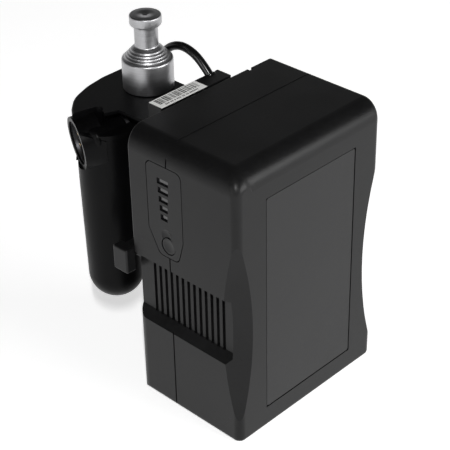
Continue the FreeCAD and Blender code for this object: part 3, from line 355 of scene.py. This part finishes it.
def materials():
    """One material for each of the record's slots."""
    return {
        "case_plastic": moulded("case_plastic", (0.0060, 0.0060, 0.0062), 0.34, gloss=0.2),
        "label_plastic": moulded("label_plastic", (0.0110, 0.0110, 0.0113), 0.40, 0.25, 0.006,
                                 mottle=0.12, gloss=0.25),
        "gauge_plastic": moulded("gauge_plastic", (0.0075, 0.0075, 0.0078), 0.38, 0.3, 0.008, gloss=0.22),
        "window_plastic": smoked_window("window_plastic"),
        "button_plastic": moulded("button_plastic", BLACK, 0.4, 0.3, 0.006),
        "circuit_board": circuit_board("circuit_board"),
        "component_plastic": moulded("component_plastic", BLACK, 0.35, 0.3, 0.004),
        "cell_sleeve": cell_sleeve("cell_sleeve"),
        "holder_plastic": moulded("holder_plastic", (0.03, 0.03, 0.03), 0.5),
        "nickel": plain_metal("nickel", (0.6, 0.58, 0.54), 0.3),
        "mount_plastic": moulded("mount_plastic", BLACK, 0.42),
        "contact_metal": plain_metal("contact_metal", (0.72, 0.5, 0.2), 0.25),
        "screw_steel": plain_metal("screw_steel", (0.05, 0.05, 0.052), 0.38),
        "label_paper": paper("label_paper"),
        "lever_plastic": moulded("lever_plastic", (0.0075, 0.0075, 0.0078), 0.42, gloss=0.22),
        "spring_steel": plain_metal("spring_steel", (0.5, 0.5, 0.5), 0.3),
        "grip_plastic": moulded("grip_plastic", (0.0022, 0.0022, 0.0024), 0.36, 0.3, 0.006, gloss=0.08),
        "core_metal": plain_metal("core_metal", (0.6, 0.6, 0.62), 0.35),
        "socket_plastic": moulded("socket_plastic", (0.0026, 0.0026, 0.0028), 0.36, gloss=0.08),
        "socket_metal": plain_metal("socket_metal", (0.16, 0.16, 0.17), 0.36),
        "insert_plastic": moulded("insert_plastic", BLACK, 0.45),
        "bright_metal": turned_metal("bright_metal", (0.42, 0.42, 0.43), 0.34),
        "head_plastic": moulded("head_plastic", (0.0024, 0.0024, 0.0026), 0.40, gloss=0.1),
        "lead_rubber": rubber("lead_rubber", (0.0025, 0.0025, 0.0025), 0.2),
        "ink": moulded("ink", (0.02, 0.02, 0.02), 0.6, 0.3, 0.002),
    }


def dress(node, material):
    """Gives a CAD node its material."""
    item = NODES[node]
    if not item.material_slots:
        item.data.materials.append(material)
    for slot in item.material_slots:
        slot.link = "OBJECT"
        slot.material = material


EDGE_ANGLE = math.radians(32)
EDGE_ROUND_MM = {
    "battery_front_shell": 0.35, "battery_back_shell": 0.35, "battery_label_panel": 0.3,
    "gauge_panel": 0.2, "lock_plate": 0.4, "release_lever": 0.3, "lever_guide": 0.4,
    "socket_housing": 0.3, "head_upper_shell": 0.4, "head_lower_shell": 0.4,
    "gauge_windows": 0.1, "battery_wedge": 0.3, "battery_contact_block": 0.3,
}


def soften_edges(node, width_mm):
    """Rounds a node's sharp edges finely, so that they catch the light."""
    bevel = NODES[node].modifiers.new("edges", "BEVEL")
    bevel.width = width_mm * MM
    bevel.segments = 2
    bevel.limit_method = "ANGLE"
    bevel.angle_limit = EDGE_ANGLE
    bevel.harden_normals = True
    bevel.use_clamp_overlap = True


def dress_everything():
    """Dresses every CAD node, and returns the materials for the pieces made here."""
    finishes = materials()
    for part in frame["record"]["subparts"]:
        dress(part["node"], finishes[part["material_slot"]])
    for node, width in EDGE_ROUND_MM.items():
        soften_edges(node, width)
    return finishes


# ---------------------------------------------------------------- pieces made here

def new_piece(name, build, material, body, slot, *replaced):
    """A mesh piece filled by build(bm), riding on a body and standing for CAD nodes."""
    mesh = bpy.data.meshes.new(name)
    bm = bmesh.new()
    build(bm)
    bmesh.ops.recalc_face_normals(bm, faces=bm.faces)
    bm.to_mesh(mesh)
    bm.free()
    for polygon in mesh.polygons:
        polygon.use_smooth = True
    item = bpy.data.objects.new(name, mesh)
    bpy.context.collection.objects.link(item)
    mesh.materials.append(material)
    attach(item, body)
    if replaced:
        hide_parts(*replaced)


LEAD_ROUTE = ((16.8, 46.6, 148.7), (16.8, 51.3, 153.4), (16.6, 57.6, 157.4), (16.3, 65.4, 158.8),
              (15.9, 72.9, 156.0), (15.0, 78.3, 150.2), (12.6, 82.8, 144.4))
LEAD_DIAMETER = 4.4 * MM


def jumper_lead(finishes):
    """The short lead from the plate to the head, on one smooth curve."""
    curve = bpy.data.curves.new("jumper_lead_sheath", "CURVE")
    curve.dimensions = "3D"
    spline = curve.splines.new("NURBS")
    spline.points.add(len(LEAD_ROUTE) - 1)
    for point, place in zip(spline.points, LEAD_ROUTE):
        point.co = (*(Vector(place) * MM), 1.0)
    spline.order_u = 3
    spline.use_endpoint_u = True
    spline.resolution_u = 12
    curve.bevel_depth = LEAD_DIAMETER / 2
    curve.bevel_resolution = 10
    curve.use_fill_caps = True
    item = bpy.data.objects.new("jumper_lead_sheath", curve)
    bpy.context.collection.objects.link(item)
    curve.materials.append(finishes["lead_rubber"])
    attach(item, "grip")
    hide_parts("jumper_lead")


def turned(bm, outline, place, segments=128):
    """Adds a closed solid of revolution about an upright line: outline is (radius, height) in mm."""
    rings = []
    for radius, height in outline:
        if radius == 0:
            rings.append([bm.verts.new(Vector((place[0], place[1], height)) * MM)])
            continue
        ring = []
        for index in range(segments):
            angle = 2 * math.pi * index / segments
            point = (place[0] + radius * math.cos(angle), place[1] + radius * math.sin(angle), height)
            ring.append(bm.verts.new(Vector(point) * MM))
        rings.append(ring)
    for low, high in zip(rings, rings[1:]):
        for index in range(segments):
            onward = (index + 1) % segments
            if len(low) == 1:
                bm.faces.new((low[0], high[onward], high[index]))
            elif len(high) == 1:
                bm.faces.new((low[index], low[onward], high[0]))
            else:
                bm.faces.new((low[index], low[onward], high[onward], high[index]))


def eased(start, corner, end, steps=4):
    """Points that round a corner of an outline from start to end."""
    points = []
    for step in range(steps + 1):
        t = step / steps
        points.append(tuple((1 - t) ** 2 * a + 2 * t * (1 - t) * b + t * t * c
                            for a, b, c in zip(start, corner, end)))
    return points


# The spigot's radii and heights, in mm, which follow the CAD spigot.
SPIGOT_PLACE = (0.0, 72.7)
SPIGOT_LOW, SPIGOT_SHOULDER, SPIGOT_TOP = 140.0, 156.1, 179.0
SPIGOT_BASE, SPIGOT_NECK, SPIGOT_HEAD = 12.9, 5.9, 8.0
NECK_LOW, NECK_HIGH = 162.3, 173.6
FOOT_STEP = 0.5             # how far the foot is undercut
SHOULDER_IN = 1.1           # how far the shoulder's rounding comes in
SHOULDER_UP = 0.35          # and how far it rises
NECK_FILLET = 0.6
CONE_STEPS = 5
CUTTER_RIDGE = ((0.3, -0.3), (0.24, -0.1), (-0.06, 0.02))    # one step on the cone, from its line


def spigot_base():
    """The foot, the upright side and the rounded shoulder."""
    base, low, shoulder = SPIGOT_BASE, SPIGOT_LOW, SPIGOT_SHOULDER
    points = [(0, low), (base - FOOT_STEP, low), (base - FOOT_STEP, low + FOOT_STEP / 2)]
    points += eased((base - FOOT_STEP / 2, low + 0.3), (base, low + 0.35), (base, low + 0.8))
    points += eased((base, shoulder - 1.0), (base, shoulder),
                    (base - SHOULDER_IN, shoulder + SHOULDER_UP))
    return points


def spigot_cone():
    """The cone, with the cutter's ridges left on it and a fillet into the neck."""
    points = []
    run = SPIGOT_BASE - SHOULDER_IN - SPIGOT_NECK - NECK_FILLET
    rise = NECK_LOW - SPIGOT_SHOULDER - SHOULDER_UP
    for step in range(1, CONE_STEPS + 1):
        part = step / CONE_STEPS
        radius = SPIGOT_BASE - SHOULDER_IN - run * part
        height = SPIGOT_SHOULDER + SHOULDER_UP + rise * part
        if step < CONE_STEPS:
            points += [(radius + out, height + up) for out, up in CUTTER_RIDGE]
        else:
            points += eased((radius, height), (SPIGOT_NECK, height + 0.3),
                            (SPIGOT_NECK, height + 0.9))
    return points


def spigot_head():
    """The neck's upper fillet, the head's rounded edges and its dished, scored face."""
    head, top = SPIGOT_HEAD, SPIGOT_TOP
    points = eased((SPIGOT_NECK, NECK_HIGH - 1.2), (SPIGOT_NECK, NECK_HIGH),
                   (SPIGOT_NECK + 0.7, NECK_HIGH))
    points += eased((head - 1.0, NECK_HIGH + 0.1), (head, NECK_HIGH + 0.2),
                    (head, NECK_HIGH + 1.2))
    points += eased((head, top - 0.9), (head, top - 0.15), (head - 0.8, top - 0.05))
    points += [(head - 1.2, top), (head - 1.5, top - 0.06), (head - 1.8, top)]
    points += [(2.0, top), (1.2, top - 0.5), (0, top - 0.9)]
    return points


def spigot(finishes):
    """The turned stand spigot, from its foot to its face."""
    outline = spigot_base() + spigot_cone() + spigot_head()
    new_piece("spigot_turned", lambda bm: turned(bm, outline, SPIGOT_PLACE),
              finishes["bright_metal"], "grip", "bright_metal", "spigot")


def thin_block(bm, low, high):
    """Adds a closed box between two corners in metres."""
    corners = [bm.verts.new((x, y, z)) for x in (low[0], high[0]) for y in (low[1], high[1])
               for z in (low[2], high[2])]
    for face in ((0, 1, 3, 2), (4, 6, 7, 5), (0, 4, 5, 1), (2, 3, 7, 6), (0, 2, 6, 4), (1, 5, 7, 3)):
        bm.faces.new([corners[index] for index in face])


INK_SEED = 7
INK_SUNK, INK_PROUD = 0.01 * MM, 0.02 * MM
BAR_WIDTHS_MM = (0.25, 0.25, 0.5, 0.75)
BAR_GAPS_MM = (0.3, 0.3, 0.55, 0.8)
BARS_LEFT, BARS_RIGHT = 2.2 * MM, 1.6 * MM      # margins on the sticker
BARS_FRONT, BARS_BACK = 3.0 * MM, 0.7 * MM
TICK_PITCHES_MM = (0.95, 0.95, 1.6)
TICK_WIDTH = 0.55 * MM
TICKS_LEFT, TICKS_RIGHT = 4.0 * MM, 3.0 * MM    # the right margin is from the bars' end
TICKS_FRONT, TICKS_BACK = 1.0 * MM, 2.1 * MM    # both from the sticker's front edge


def sticker_bars(finishes):
    """Plain printed bars across the sticker, with a row of short ticks beside them."""
    low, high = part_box("barcode_sticker")
    draw = random.Random(INK_SEED)
    level, proud = high[2] - INK_SUNK, high[2] + INK_PROUD

    def build(bm):
        x, end = low[0] + BARS_LEFT, high[0] - BARS_RIGHT
        while x < end:
            wide = draw.choice(BAR_WIDTHS_MM) * MM
            near, far = low[1] + BARS_FRONT, high[1] - BARS_BACK
            thin_block(bm, (x, near, level), (min(x + wide, end), far, proud))
            x += wide + draw.choice(BAR_GAPS_MM) * MM
        x = low[0] + TICKS_LEFT
        while x < end - TICKS_RIGHT:
            near, far = low[1] + TICKS_FRONT, low[1] + TICKS_BACK
            thin_block(bm, (x, near, level), (x + TICK_WIDTH, far, proud))
            x += draw.choice(TICK_PITCHES_MM) * MM

    new_piece("sticker_bars", build, finishes["ink"], "grip", "label_paper")


# ---------------------------------------------------------------- scene

camera()
finishes = dress_everything()
spigot(finishes)
sticker_bars(finishes)
jumper_lead(finishes)
floor()
lights()
